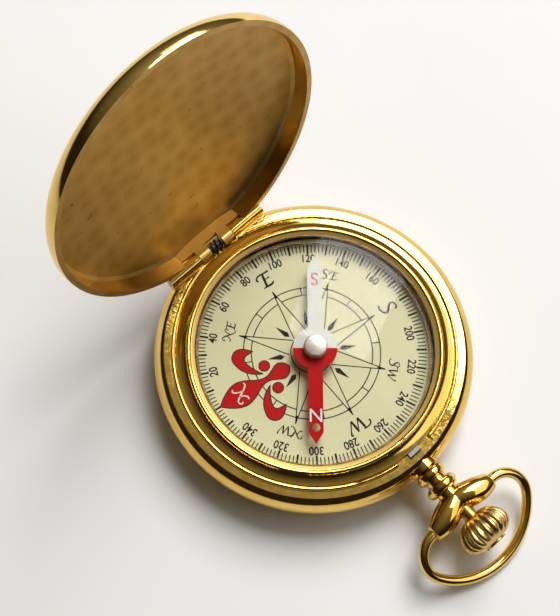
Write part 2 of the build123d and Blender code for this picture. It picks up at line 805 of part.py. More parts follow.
# Hinge leaf on the case: a block with a knuckle at each end, joined by a low bridge.
with BuildPart() as case_hinge_leaf:
    with BuildSketch(Plane.XY.offset(leaf_pocket_height)):
        with Locations((0, (leaf_front + leaf_back) / 2)):
            Rectangle(2 * hinge_half_length, leaf_back - leaf_front)
    extrude(amount=leaf_height - leaf_pocket_height)
    with BuildSketch(Plane.YZ.offset(-hinge_half_length)):
        with Locations((hinge_offset, hinge_height)):
            Circle(knuckle_radius)
    extrude(amount=2 * hinge_half_length)
    with BuildSketch(Plane.XY.offset(leaf_bridge_height)):
        with Locations((0, (leaf_front + leaf_back) / 2)):
            Rectangle(2 * hinge_gap_half, 2 * (leaf_back - leaf_front))
    extrude(amount=hinge_height, mode=Mode.SUBTRACT)
    with BuildSketch(Plane.YZ.offset(-hinge_half_length)):
        with Locations((hinge_offset, hinge_height)):
            Circle(hinge_pin_radius + fixed_clearance)
    extrude(amount=2 * hinge_half_length, mode=Mode.SUBTRACT)
save(case_hinge_leaf, "case_hinge_leaf")

with BuildPart() as hinge_pin:
    with BuildSketch(Plane.YZ.offset(-hinge_half_length)):
        with Locations((hinge_offset, hinge_height)):
            Circle(hinge_pin_radius)
    extrude(amount=2 * hinge_half_length)
save(hinge_pin, "hinge_pin")

# Lid, in its own frame: the origin is the middle of the rim plane, local z points out through the dome
# and local y points to the hinge, so it reads as if the lid were closed.
lid_turn = radians(lid_open_angle)
lid_along = Vector(0, -cos(lid_turn), sin(lid_turn))
lid_inward = Vector(0, -sin(lid_turn), -cos(lid_turn))
lid_origin = Vector(0, hinge_offset, hinge_height) + lid_along * hinge_offset + lid_inward * lid_rim_drop
lid_outward = lid_inward * -1
lid_plane = Plane(origin=lid_origin, x_dir=(1, 0, 0), z_dir=lid_outward)
lid_section = Plane(origin=lid_origin, x_dir=(1, 0, 0), z_dir=lid_along)
lid_side = Plane(origin=lid_origin, x_dir=lid_along * -1, z_dir=(1, 0, 0))
lid_axis = Axis(lid_origin, lid_outward)
lid_shoulder_radius = lid_radius - lid_shoulder_inset
lid_floor_radius = lid_radius - lid_floor_inset
lid_floor_apex_height = lid_floor_height + lid_floor_rise
lid_apex_height = lid_floor_apex_height + lid_thickness


def lid_outside():
    """Draw the lid's outer line, from the rim to the top of the dome."""
    ThreePointArc(
        (lid_radius, 0),
        (lid_wall_bulge, lid_wall_swell_height),
        (lid_shoulder_radius, lid_shoulder_height),
    )
    TangentArc((0, lid_apex_height), (lid_shoulder_radius, lid_shoulder_height), tangent=(1, 0))


with BuildPart() as lid_shell:
    with BuildSketch(lid_section):
        with BuildLine():
            lid_outside()
            Line((0, lid_apex_height), (0, lid_floor_apex_height))
            TangentArc((0, lid_floor_apex_height), (lid_floor_radius, lid_floor_height), tangent=(1, 0))
            Polyline(
                (lid_floor_radius, lid_floor_height),
                (lid_radius - lid_rim_width, lid_wall_height),
                (lid_radius - lid_rim_width, 0),
                (lid_radius, 0),
            )
        make_face()
    revolve(axis=lid_axis)
    # straight chord at the hinge
    with BuildSketch(lid_plane):
        with Locations((0, plate_inner + case_radius / 2)):
            Rectangle(2 * case_radius, case_radius)
    extrude(amount=lid_apex_height + overrun, mode=Mode.SUBTRACT)
    # hollow round the case's knuckles
    relief_half_length = hinge_half_length + knuckle_clearance
    with BuildSketch(lid_side.offset(-relief_half_length)):
        with Locations((hinge_offset, lid_rim_drop)):
            Circle(knuckle_radius + knuckle_clearance)
    extrude(amount=2 * relief_half_length, mode=Mode.SUBTRACT)
save(lid_shell, "lid_shell")

plate_bottom = lid_rim_drop + knuckle_radius + knuckle_clearance
with BuildPart() as lid_hinge_leaf:
    with BuildSketch(lid_section):
        with BuildLine():
            lid_outside()
            Polyline((0, lid_apex_height), (0, 0), (lid_radius, 0))
        make_face()
    revolve(axis=lid_axis)
    with BuildSketch(lid_plane.offset(plate_bottom)):
        with Locations((0, (plate_inner + plate_outer) / 2)):
            Rectangle(2 * case_radius, plate_outer - plate_inner)
    extrude(amount=lid_apex_height, mode=Mode.INTERSECT)
    for side in (-1, 1):
        knuckle_length = lid_knuckle_outer - lid_knuckle_inner
        with BuildSketch(lid_side.offset(side * lid_knuckle_inner)):
            with Locations((hinge_offset, lid_rim_drop)):
                Circle(knuckle_radius)
        extrude(amount=side * knuckle_length)
        with BuildSketch(lid_plane.offset(lid_rim_drop)):
            with Locations((side * (lid_knuckle_inner + lid_knuckle_outer) / 2, (plate_inner + plate_outer) / 2)):
                Rectangle(knuckle_length, plate_outer - plate_inner)
        extrude(amount=plate_bottom - lid_rim_drop + knuckle_clearance)
    with BuildSketch(lid_side.offset(-lid_knuckle_outer)):
        with Locations((hinge_offset, lid_rim_drop)):
            Circle(hinge_pin_radius + running_clearance)
    extrude(amount=2 * lid_knuckle_outer, mode=Mode.SUBTRACT)
save(lid_hinge_leaf, "lid_hinge_leaf")

# Hinge spring: open turns of steel wire round the pin. One leg lies on the case leaf's bridge,
# the other on the inside of the lid's plate.
spring_sweep = radians(spring_full_turns * 360 + spring_start_angle - spring_end_angle)
step_count = ceil(spring_sweep / (pi / 2))
spring_step = spring_sweep / step_count
spring_rise = 2 * spring_half_length / step_count


def spring_point(index):
    """A point on the spring's middle line after a number of steps of about a quarter turn."""
    turn = radians(spring_start_angle) - index * spring_step
    across = -spring_half_length + index * spring_rise
    return Vector(
        across,
        hinge_offset + spring_turn_radius * cos(turn),
        hinge_height + spring_turn_radius * sin(turn),
    )


def spring_tangent(index):
    """The direction of the spring's middle line at that point."""
    turn = radians(spring_start_angle) - index * spring_step
    sideways = spring_turn_radius * spring_step
    return Vector(spring_rise, sideways * sin(turn), -sideways * cos(turn)).normalized()


def biarc_middle(start, start_tangent, end, end_tangent):
    """The point where two arcs that leave and arrive along the given tangents meet."""
    chord = end - start
    both = start_tangent + end_tangent
    spread = 2 * (1 - start_tangent.dot(end_tangent))
    reach = (sqrt(chord.dot(both) ** 2 + spread * chord.dot(chord)) - chord.dot(both)) / spread
    return (start + start_tangent * reach + end - end_tangent * reach) * 0.5


def least_gap(points, diameter, skip):
    """The least free distance between points of a line that are at least skip places apart."""
    gaps = []
    for first, point in enumerate(points):
        for other in points[first + skip:]:
            gaps.append((point - other).length - diameter)
    return min(gaps)


with BuildPart() as hinge_spring:
    with BuildLine() as spring_path:
        leg_start = spring_point(0) - spring_tangent(0) * spring_case_leg
        Line(leg_start, spring_point(0))
        for index in range(step_count):
            start = spring_point(index)
            end = spring_point(index + 1)
            middle = biarc_middle(start, spring_tangent(index), end, spring_tangent(index + 1))
            first_arc = TangentArc(start, middle, tangent=spring_tangent(index))
            TangentArc(middle, end, tangent=first_arc % 1)
        turns_end = spring_point(step_count)
        Line(turns_end, turns_end + spring_tangent(step_count) * spring_lid_leg)
    with BuildSketch(Plane(origin=leg_start, z_dir=spring_tangent(0))):
        Circle(spring_wire_radius)
    sweep(path=spring_path.wires()[0])
save(hinge_spring, "hinge_spring")

sample_count = step_count * spring_samples_per_step
spring_samples = [spring_point(sample / spring_samples_per_step) for sample in range(sample_count + 1)]
spring_gap = least_gap(spring_samples, 2 * spring_wire_radius, 2 * spring_samples_per_step)
print(f"hinge spring: least gap between turns {spring_gap:.2f} mm")
print(f"bow droop {bow_droop:.2f} degrees")
catch_lever_arm = screw_radius_from_centre * cos(radians(catch_angle))
print(f"catch turn per millimetre of crown travel {degrees(1 / catch_lever_arm):.3f} degrees")
print(f"catch pivot {catch_lever_arm:.4f}, {screw_radius_from_centre * sin(radians(catch_angle)):.4f}")
print(f"lid origin {lid_origin.X:.3f}, {lid_origin.Y:.3f}, {lid_origin.Z:.3f}")
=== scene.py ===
import math

import bmesh
import bpy
from mathutils import Matrix, Vector


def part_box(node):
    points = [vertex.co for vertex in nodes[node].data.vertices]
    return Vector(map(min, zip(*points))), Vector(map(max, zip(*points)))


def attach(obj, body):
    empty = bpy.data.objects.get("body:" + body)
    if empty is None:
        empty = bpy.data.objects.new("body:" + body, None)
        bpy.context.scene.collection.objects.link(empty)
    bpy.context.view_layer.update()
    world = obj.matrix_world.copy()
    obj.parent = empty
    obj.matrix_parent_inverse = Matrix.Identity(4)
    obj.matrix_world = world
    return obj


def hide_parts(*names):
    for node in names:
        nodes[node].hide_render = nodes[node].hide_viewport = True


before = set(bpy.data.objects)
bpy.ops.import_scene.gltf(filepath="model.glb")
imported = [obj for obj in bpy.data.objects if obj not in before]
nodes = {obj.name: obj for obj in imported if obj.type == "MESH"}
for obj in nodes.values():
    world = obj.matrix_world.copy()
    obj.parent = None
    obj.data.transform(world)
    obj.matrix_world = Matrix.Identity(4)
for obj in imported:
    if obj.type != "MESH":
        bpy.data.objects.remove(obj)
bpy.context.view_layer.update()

# Pocket compass with its lid open, in the row's frame: +Z up, pendant towards -Y, hinge towards +Y.
# Sizes below are in millimetres and angles in degrees, where nothing else is said. Bump distances are in metres.
MM = 0.001

# Dial print. North lies at this angle about Z, and degrees run clockwise from it.
NORTH_ANGLE = 169.1
DIAL_CENTRE = (-0.24, 0.23)
FULL_TURN = 360

# How thick each layer of print is
FILM_BLACK, FILM_RED, FILM_EDGE, FILM_WHITE = 0.012, 0.020, 0.028, 0.030

# Degree ticks and numerals: the degrees between them, their radii and their sizes
TICK_STEP, TICK_BOLD_STEP = 2, 10
TICK_OUTER, TICK_INNER, TICK_BOLD_INNER = 16.72, 15.50, 15.25
TICK_WIDTH, TICK_BOLD_WIDTH = 0.16, 0.30
NUMERAL_STEP, NUMERAL_HEIGHT, NUMERAL_NARROW, NUMERAL_FOOT = 20, 1.2, 0.86, 14.0
NUMERAL_BOLD = 0.018

# Rose: its double ring, its hub ring, its slender points and the darts between them
RING_OUTER, RING_INNER, RING_LINE = 9.98, 8.82, 0.16
HUB_RING, HUB_LINE = 3.1, 0.15
POINT_COUNT = 8
POINT_TIP, POINT_FOOT, POINT_HALF_WIDTH, POINT_LINE, POINT_DARK = 10.9, 3.1, 1.12, 0.15, 9.7
DART_TIP, DART_WIDEST, DART_FOOT, DART_HALF_WIDTH = 6.6, 4.6, 4.0, 0.40

# Compass letters, and the fleur-de-lis with its letter
LETTER_WEIGHT = 1.35
FLEUR_EDGE = 0.15
FLEUR_DOT, FLEUR_DOT_RADIUS = (1.9, 7.0), 0.78
FLEUR_LETTER_RADIUS = 12.2

# Steps in a circle, and between two points of a smooth line
CIRCLE_STEPS = 40
SMOOTH_STEPS = 8

# Needle: the angle of its red end about Z at rest, and its letters along it from the pivot
NEEDLE_ANGLE = -132.8
NEEDLE_NORTH_LETTER, NEEDLE_SOUTH_LETTER = 9.92, -10.50
NEEDLE_LETTER_HEIGHT = 1.9

# Lid, open at rest: the way from its hinge and the way into its dish
LID_ALONG = (0.0, 0.2164, 0.9763)
LID_INWARD = (0.0, -0.9763, 0.2164)

# Middle of the lid, how far along it and how wide, where its fan of narrow faces is shaded flat
LID_MIDDLE, LID_MIDDLE_RADIUS = 34.43, 2.3

# Lid's finish: gold outside, and where a face is turned inwards a satin bronze with ground spots and dark specks
LID_LIGHT, LID_DARK = (0.88, 0.61, 0.19), (0.78, 0.52, 0.14)
BRONZE_LIGHT, BRONZE_DARK = (0.60, 0.39, 0.14), (0.39, 0.226, 0.056)
SPECK_BROWN = (0.14, 0.07, 0.03, 1.0)
LID_POLISHED, LID_SATIN = 0.10, 0.46
LID_FACING_LOW, LID_FACING_HIGH = 0.25, 0.75
BRONZE_LOW, BRONZE_HIGH = 0.30, 0.80
SPOT_SIZE = 3.0
SPOT_SHARE, STAIN_SHARE, GRAIN_SHARE = 0.38, 0.5, 0.25
SPECK_LOW, SPECK_HIGH, SPECK_STRENGTH = 0.745, 0.775, 0.6

# Ledge that the lid closes on, and the bezel's satin lip, whose tan is painted shade that dims its reflections
LEDGE_HEIGHT, LEDGE_DEPTH, LEDGE_INNER, LEDGE_OUTER = 8.4, 0.05, 20.6, 20.9
LIP_HEIGHT, LIP_INNER, LIP_OUTER, LIP_ROUGHNESS = 8.0, 17.7, 18.0, 0.46
LIP_PAINTED_SHADE = (0.36, 0.22, 0.065, 1.0)
PLAIN_SPECKLE, LEDGE_SPECKLE = 0.35, 0.9

# Where noise turns a dark tone light, and where it turns a smooth metal worn
TONE_LOW, TONE_HIGH = 0.3, 0.7
WEAR_LOW, WEAR_HIGH = 0.35, 0.75

# Camera, fitted to the rings, the dial and the lid in the photograph. Near and far are in metres.
IMAGE_WIDTH = 560
CAMERA_FOCAL_PIXELS = 1332.18
CAMERA_AZIMUTH, CAMERA_ELEVATION, CAMERA_ROLL = -48.19, 71.52, 5.52
CAMERA_DISTANCE = 194.02
CAMERA_TARGET = (0.0, 0.0, 6.0)
CAMERA_SHIFT_RIGHT, CAMERA_SHIFT_UP = 4.97, -6.66
CAMERA_NEAR, CAMERA_FAR = 0.01, 10.0
SENSOR_WIDTH = 36.0

# Window and pale wall, in metres and watts, seen from the object at these angles
WINDOW_AZIMUTH, WINDOW_ELEVATION, WINDOW_DISTANCE = 26.0, 54.0, 0.85
WINDOW_SIZE, WINDOW_POWER = (0.36, 0.57), 6.8
WALL_AZIMUTH, WALL_ELEVATION, WALL_DISTANCE = -10.0, 54.0, 1.3
WALL_SIZE, WALL_POWER = (2.4, 0.8), 7.2

# Room: the direction of its lighter side, and its shades, each with where it lies on the way there
ROOM_AZIMUTH, ROOM_ELEVATION = 35.0, 60.0
ROOM_DARK = 0.30, (0.022, 0.018, 0.013, 1.0)
ROOM_MIDDLE = 0.80, (0.17, 0.15, 0.115, 1.0)
ROOM_LIGHT = 0.98, (0.30, 0.28, 0.23, 1.0)

# Table top: half its side in metres, and its tones
TABLE_HALF = 1.2
TABLE_LIGHT, TABLE_DARK = (0.83, 0.83, 0.83), (0.79, 0.79, 0.79)

# Crystal: its tint, how much it mirrors square on and at a slant, and its roughness where clean and smeared
CRYSTAL_TINT = (0.985, 0.99, 0.985, 1.0)
CRYSTAL_FACING, CRYSTAL_SLANT, CRYSTAL_SLANT_POWER = 0.008, 0.9, 5.0
CRYSTAL_CLEAN, CRYSTAL_SMEARED = 0.01, 0.04
SMEAR_LOW, SMEAR_HIGH = 0.4, 0.8

# Paint, ink and card: their gloss, the needle's enamel and what makes up the card's tone
PAINT_SPECULAR, CARD_SPECULAR = 0.04, 0.2
ENAMEL_RED_LIGHT, ENAMEL_RED_DARK = (0.52, 0.005, 0.006), (0.42, 0.003, 0.004)
ENAMEL_WHITE_LIGHT, ENAMEL_WHITE_DARK = (0.69, 0.68, 0.63), (0.62, 0.61, 0.56)
FIBRE_SHARE, CLOUD_SHARE = 0.4, 0.6

# Crown: its axis, its profile as how far along from the near end and how far out, and its ridges
CROWN_AXIS_HEIGHT = 5.8
CROWN_NEAR_END = -32.2
CROWN_PROFILE = (
    (0.02, 1.40), (0.25, 2.15), (0.7, 2.88), (1.3, 3.42), (2.0, 3.80), (2.7, 3.96), (3.3, 3.90),
    (3.9, 3.56), (4.3, 3.12), (4.58, 2.58), (4.72, 2.1), (4.74, 1.6),
)
CROWN_RIDGES, CROWN_RIDGE_STEPS, CROWN_VALLEY = 20, 12, 0.10

# Needle's cap: how far out and how high
CAP_PROFILE = (
    (1.70, 8.96), (1.72, 9.06), (1.69, 9.9), (1.66, 10.28), (1.59, 10.41), (1.46, 10.48),
    (0.9, 10.61), (0.3, 10.71), (0.05, 10.73),
)

# Fillets on the lid's plate, close round the case's knuckles: the hinge's axis, and their reach along and about it
HINGE_AXIS_Y, HINGE_AXIS_Z = 21.4, 8.6
FILLET_START, FILLET_END = 3.13, 8.0
FILLET_RADIUS, FILLET_ROOT, FILLET_TURN, FILLET_STEPS = 0.975, 1.03, 18.0, 4

# Sockets of a mix node that blends colours
MIX_FACTOR, MIX_FIRST, MIX_SECOND, MIX_RESULT = 0, 6, 7, 2


class Shader:
    """A node material with short ways to add and join nodes."""

    def __init__(self, name):
        self.material = bpy.data.materials.new(name)
        self.material.use_nodes = True
        self.tree = self.material.node_tree
        self.surface = self.tree.nodes["Principled BSDF"]
        self.output = self.tree.nodes["Material Output"]

    def add(self, kind, settings=None, **inputs):
        node = self.tree.nodes.new(kind)
        for key, value in (settings or {}).items():
            setattr(node, key, value)
        for key, value in inputs.items():
            self.put(node, key.replace("_", " "), value)
        return node

    def put(self, node, socket, value):
        if isinstance(value, bpy.types.NodeSocket):
            self.tree.links.new(value, node.inputs[socket])
        else:
            node.inputs[socket].default_value = value

    def place(self):
        return self.add("ShaderNodeTexCoord").outputs["Object"]

    def noise(self, vector, scale, detail=3.0, roughness=0.5):
        node = self.add("ShaderNodeTexNoise", Vector=vector, Scale=scale, Detail=detail, Roughness=roughness)
        return node.outputs["Fac"]

    def math(self, operation, first, second=0.0, third=0.0):
        node = self.add("ShaderNodeMath", {"operation": operation})
        self.put(node, 0, first)
        self.put(node, 1, second)
        self.put(node, 2, third)
        return node.outputs[0]

    def vector(self, operation, first, second, output=0):
        node = self.add("ShaderNodeVectorMath", {"operation": operation})
        self.put(node, 0, first)
        self.put(node, 1, second)
        return node.outputs[output]

    def dot(self, first, second):
        return self.vector("DOT_PRODUCT", first, second, "Value")

    def ramp(self, factor, dark, light, low=TONE_LOW, high=TONE_HIGH):
        """From a dark to a light tone while the factor goes from low to high."""
        node = self.add("ShaderNodeValToRGB", Fac=factor)
        for element, position, tone in zip(node.color_ramp.elements, (low, high), (dark, light)):
            element.position = position
            element.color = (*tone, 1.0)
        return node.outputs["Color"]

    def span(self, factor, from_low, from_high, low, high):
        """From one value to another while the factor goes from from_low to from_high."""
        node = self.add("ShaderNodeMapRange", Value=factor, From_Min=from_low, From_Max=from_high)
        self.put(node, "To Min", low)
        self.put(node, "To Max", high)
        return node.outputs["Result"]

    def mix(self, factor, first, second):
        node = self.add("ShaderNodeMix", {"data_type": "RGBA"})
        self.put(node, MIX_FACTOR, factor)
        self.put(node, MIX_FIRST, first)
        self.put(node, MIX_SECOND, second)
        return node.outputs[MIX_RESULT]

    def bump(self, height, distance, strength, normal=None):
        node = self.add("ShaderNodeBump", Height=height, Distance=distance, Strength=strength)
        if normal is not None:
            self.put(node, "Normal", normal)
        return node.outputs["Normal"]

    def set(self, **inputs):
        for key, value in inputs.items():
            self.put(self.surface, key.replace("_", " "), value)


def polished_gold(name, light, dark, smooth, worn):
    """Polished gold plate with faint colour drift and handling marks.

    Its surface is slightly uneven, more so on the lid's ledge, and the bezel's lip is satin, in a tan that is painted
    shade dimming its reflections.
    """
    shader = Shader(name)
    place = shader.place()
    drift = shader.noise(place, scale=180.0, detail=4.0)
    wear = shader.noise(place, scale=900.0, detail=6.0, roughness=0.65)
    ripple = shader.noise(place, scale=420.0, detail=2.0)
    dimple = shader.noise(place, scale=1600.0, detail=2.0)
    out = shader.vector("LENGTH", shader.vector("MULTIPLY", place, (1.0, 1.0, 0.0)), (0.0, 0.0, 0.0), "Value")
    height = shader.add("ShaderNodeSeparateXYZ", Vector=place).outputs["Z"]
    # The lip's satin roughness is its own; its tan colour is painted shade that dims what it mirrors.
    lip = shader.span(out, LIP_INNER * MM, LIP_OUTER * MM, 1.0, 0.0)
    lip = shader.math("MULTIPLY", lip, shader.math("GREATER_THAN", height, LIP_HEIGHT * MM))
    ledge = shader.math("COMPARE", height, LEDGE_HEIGHT * MM, LEDGE_DEPTH * MM)
    ledge = shader.math("MULTIPLY", ledge, shader.span(out, LEDGE_INNER * MM, LEDGE_OUTER * MM, 0.0, 1.0))
    speckle = shader.span(ledge, 0.0, 1.0, PLAIN_SPECKLE, LEDGE_SPECKLE)
    uneven = shader.math("ADD", ripple, shader.math("MULTIPLY", dimple, speckle))
    plate = shader.ramp(drift, dark, light)
    gloss = shader.span(wear, WEAR_LOW, WEAR_HIGH, smooth, worn)
    shader.set(
        Metallic=1.0,
        Base_Color=shader.mix(lip, plate, LIP_PAINTED_SHADE),
        Roughness=shader.math("MAXIMUM", gloss, shader.math("MULTIPLY", lip, LIP_ROUGHNESS)),
        Normal=shader.bump(uneven, distance=0.00003, strength=0.35),
    )
    return shader.material


def satin_steel(name, light, dark, smooth, worn):
    """Satin steel with fine grain."""
    shader = Shader(name)
    grain = shader.noise(shader.place(), scale=3000.0, detail=5.0)
    shader.set(
        Metallic=1.0,
        Base_Color=shader.ramp(grain, dark, light),
        Roughness=shader.span(grain, TONE_LOW, TONE_HIGH, smooth, worn),
        Normal=shader.bump(grain, distance=0.000006, strength=0.3),
    )
    return shader.material


def lid_gold():
    """Polished gold outside, and inside a satin bronze gold with soft ground spots and a few dark specks."""
    shader = Shader("lid_gold")
    coordinates = shader.add("ShaderNodeTexCoord")
    place = coordinates.outputs["Object"]
    inward = shader.dot(coordinates.outputs["Normal"], LID_INWARD)
    inside = shader.span(inward, LID_FACING_LOW, LID_FACING_HIGH, 0.0, 1.0)
    across, along = shader.dot(place, (1.0, 0.0, 0.0)), shader.dot(place, LID_ALONG)
    flat = shader.add("ShaderNodeCombineXYZ", X=across, Y=along).outputs[0]
    spots = shader.add(
        "ShaderNodeTexVoronoi", {"voronoi_dimensions": "2D", "feature": "SMOOTH_F1"},
        Vector=flat, Scale=1.0 / (SPOT_SIZE * MM), Smoothness=0.6, Randomness=0.55,
    ).outputs["Distance"]
    stain = shader.noise(place, scale=110.0)
    fine = shader.noise(place, scale=2600.0, detail=4.0, roughness=0.7)
    spot_tone = shader.math("MULTIPLY", spots, SPOT_SHARE)
    stain_tone = shader.math("MULTIPLY", stain, STAIN_SHARE)
    grain_tone = shader.math("MULTIPLY", fine, GRAIN_SHARE)
    tone = shader.math("ADD", shader.math("ADD", spot_tone, stain_tone), grain_tone)
    satin = shader.ramp(tone, BRONZE_DARK, BRONZE_LIGHT, BRONZE_LOW, BRONZE_HIGH)
    dust = shader.noise(place, scale=900.0, detail=1.0)
    specks = shader.span(dust, SPECK_LOW, SPECK_HIGH, 0.0, SPECK_STRENGTH)
    satin = shader.mix(specks, satin, SPECK_BROWN)
    lean = shader.add("ShaderNodeNewGeometry")
    from_middle = shader.vector("DISTANCE", flat, (0.0, LID_MIDDLE * MM, 0.0), "Value")
    middle = shader.math("LESS_THAN", from_middle, LID_MIDDLE_RADIUS * MM)
    normal = shader.mix(middle, lean.outputs["Normal"], lean.outputs["True Normal"])
    drift = shader.noise(place, scale=180.0, detail=4.0)
    plain = shader.ramp(drift, LID_DARK, LID_LIGHT)
    shader.set(
        Metallic=1.0,
        Base_Color=shader.mix(inside, plain, satin),
        Roughness=shader.span(inside, 0.0, 1.0, LID_POLISHED, LID_SATIN),
        Normal=shader.bump(shader.math("MULTIPLY", fine, inside), distance=0.000004, strength=0.3, normal=normal),
    )
    return shader.material


def card(name, light, dark, rough):
    """Printed card: faint fibres over a soft cloudy tone."""
    shader = Shader(name)
    place = shader.place()
    fibre = shader.noise(place, scale=2500.0, detail=6.0)
    cloud = shader.noise(place, scale=120.0, detail=2.0)
    fibre_tone = shader.math("MULTIPLY", fibre, FIBRE_SHARE)
    cloud_tone = shader.math("MULTIPLY", cloud, CLOUD_SHARE)
    tone = shader.math("ADD", fibre_tone, cloud_tone)
    shader.set(
        Base_Color=shader.ramp(tone, dark, light),
        Roughness=rough,
        Specular_IOR_Level=CARD_SPECULAR,
        Normal=shader.bump(fibre, distance=0.00001, strength=0.2),
    )
    return shader.material


def clear_crystal(name):
    """Clear crystal: lets the light through to the dial, and shows its gloss, more of it at a slant."""
    shader = Shader(name)
    shader.tree.nodes.remove(shader.surface)
    through = shader.add("ShaderNodeBsdfTransparent", Color=CRYSTAL_TINT)
    smear = shader.noise(shader.place(), scale=260.0, detail=4.0)
    rough = shader.span(smear, SMEAR_LOW, SMEAR_HIGH, CRYSTAL_CLEAN, CRYSTAL_SMEARED)
    gloss = shader.add("ShaderNodeBsdfGlossy", Roughness=rough)
    facing = shader.add("ShaderNodeLayerWeight", Blend=0.5).outputs["Facing"]
    slant = shader.math("POWER", facing, CRYSTAL_SLANT_POWER)
    both = shader.add("ShaderNodeMixShader", Fac=shader.span(slant, 0.0, 1.0, CRYSTAL_FACING, CRYSTAL_SLANT))
    shader.put(both, 1, through.outputs[0])
    shader.put(both, 2, gloss.outputs[0])
    shader.tree.links.new(both.outputs[0], shader.output.inputs["Surface"])
    return shader.material


def needle_enamel():
    """Enamel on the needle: red on the north half, white on the south half."""
    shader = Shader("needle_enamel")
    place = shader.place()
    turn = math.radians(NEEDLE_ANGLE)
    north = shader.math("GREATER_THAN", shader.dot(place, (math.cos(turn), math.sin(turn), 0.0)), 0.0)
    mottle = shader.noise(place, scale=1500.0)
    red = shader.ramp(mottle, ENAMEL_RED_DARK, ENAMEL_RED_LIGHT)
    white = shader.ramp(mottle, ENAMEL_WHITE_DARK, ENAMEL_WHITE_LIGHT)
    shader.set(
        Base_Color=shader.mix(north, white, red),
        Roughness=0.4,
        Specular_IOR_Level=PAINT_SPECULAR,
        Normal=shader.bump(mottle, distance=0.00001, strength=0.2),
    )
    return shader.material


def ink(name, light, dark):
    """Slightly uneven printing ink."""
    shader = Shader(name)
    grain = shader.noise(shader.place(), scale=4000.0, detail=4.0)
    shader.set(
        Base_Color=shader.ramp(grain, dark, light),
        Roughness=0.5,
        Specular_IOR_Level=PAINT_SPECULAR,
        Normal=shader.bump(grain, distance=0.000004, strength=0.2),
    )
    return shader.material


def dress(material, *names):
    """Gives CAD nodes their finish."""
    for name in names:
        slots = nodes[name].data.materials
        slots.clear()
        slots.append(material)


def dress_nodes():
    """Gives every CAD node its material, and gives back those of the crown, the cap and the lid's plate."""
    gold = polished_gold("case_gold", light=(0.90, 0.61, 0.155), dark=(0.80, 0.51, 0.10), smooth=0.06, worn=0.16)
    dress(gold, "case_band", "case_back", "bezel_ring", "case_hinge_leaf", "pendant", "bow")
    plate_gold = polished_gold("plate_gold", light=(0.84, 0.56, 0.18), dark=(0.74, 0.47, 0.12), smooth=0.28, worn=0.40)
    dress(plate_gold, "lid_hinge_leaf")
    dress(lid_gold(), "lid_shell")
    crown_gold = polished_gold("crown_gold", light=(0.69, 0.46, 0.16), dark=(0.59, 0.38, 0.11), smooth=0.24, worn=0.36)
    dress(crown_gold, "crown", "crown_button", "crown_stem")
    pan_gold = polished_gold("pan_gold", light=(0.84, 0.62, 0.25), dark=(0.74, 0.52, 0.18), smooth=0.22, worn=0.35)
    dress(pan_gold, "compass_pan", "pivot_post")
    bright = satin_steel("bright_steel", light=(0.74, 0.73, 0.71), dark=(0.58, 0.57, 0.55), smooth=0.20, worn=0.32)
    dress(bright, "stem_collar", "pivot_pin")
    cap_satin = satin_steel("cap_satin", light=(0.64, 0.58, 0.52), dark=(0.53, 0.48, 0.43), smooth=0.48, worn=0.58)
    dress(cap_satin, "needle_cap")
    # The catch's steel is darkened as painted shade of the dark notch in the rim round its nose.
    shaded_catch_steel = satin_steel("catch_steel_painted_shade", light=(0.22, 0.21, 0.20), dark=(0.13, 0.12, 0.12), smooth=0.34, worn=0.48)
    dress(shaded_catch_steel, "catch_spring", "catch_screw")
    black = satin_steel("spring_steel", light=(0.13, 0.13, 0.14), dark=(0.06, 0.06, 0.07), smooth=0.30, worn=0.45)
    dress(black, "hinge_spring", "hinge_pin")
    dress(card("dial_cream", light=(0.71, 0.675, 0.415), dark=(0.65, 0.615, 0.36), rough=0.55), "dial_card")
    dress(card("seal_tan", light=(0.50, 0.36, 0.15), dark=(0.42, 0.29, 0.11), rough=0.5), "crystal_gasket")
    dress(clear_crystal("crystal_clear"), "crystal")
    dress(clear_crystal("jewel_clear"), "jewel_cup")
    dress(needle_enamel(), "needle_blade")
    return crown_gold, cap_satin, plate_gold


def smooth_path(points):
    """A smooth line through the given points, as more points."""
    last = len(points) - 1
    path = []
    for index in range(last):
        a, b, c, d = (points[min(max(index + shift, 0), last)] for shift in (-1, 0, 1, 2))
        for step in range(SMOOTH_STEPS):
            t = step / SMOOTH_STEPS
            path.append(tuple(
                0.5 * (2 * q + (r - p) * t + (2 * p - 5 * q + 4 * r - s) * t * t
                       + (3 * q - p - 3 * r + s) * t ** 3)
                for p, q, r, s in zip(a, b, c, d)
            ))
    return path + [tuple(points[last])]


def circle(centre, radius):
    """Points round a circle."""
    turns = [2 * math.pi * step / CIRCLE_STEPS for step in range(CIRCLE_STEPS)]
    return [(centre[0] + radius * math.cos(t), centre[1] + radius * math.sin(t)) for t in turns]


def around(degrees, radius=0.0):
    """A frame on the dial at a bearing and radius, with its Y pointing outwards."""
    return Matrix.Rotation(-math.radians(degrees), 4, "Z") @ Matrix.Translation((0.0, radius, 0.0))


def show(name, mesh, material, body):
    """Makes a piece of a mesh that rides on a body, with its finish."""
    data = bpy.data.meshes.new(name)
    mesh.to_mesh(data)
    mesh.free()
    data.materials.append(material)
    piece = bpy.data.objects.new(name, data)
    bpy.context.collection.objects.link(piece)
    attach(piece, body)
    return piece


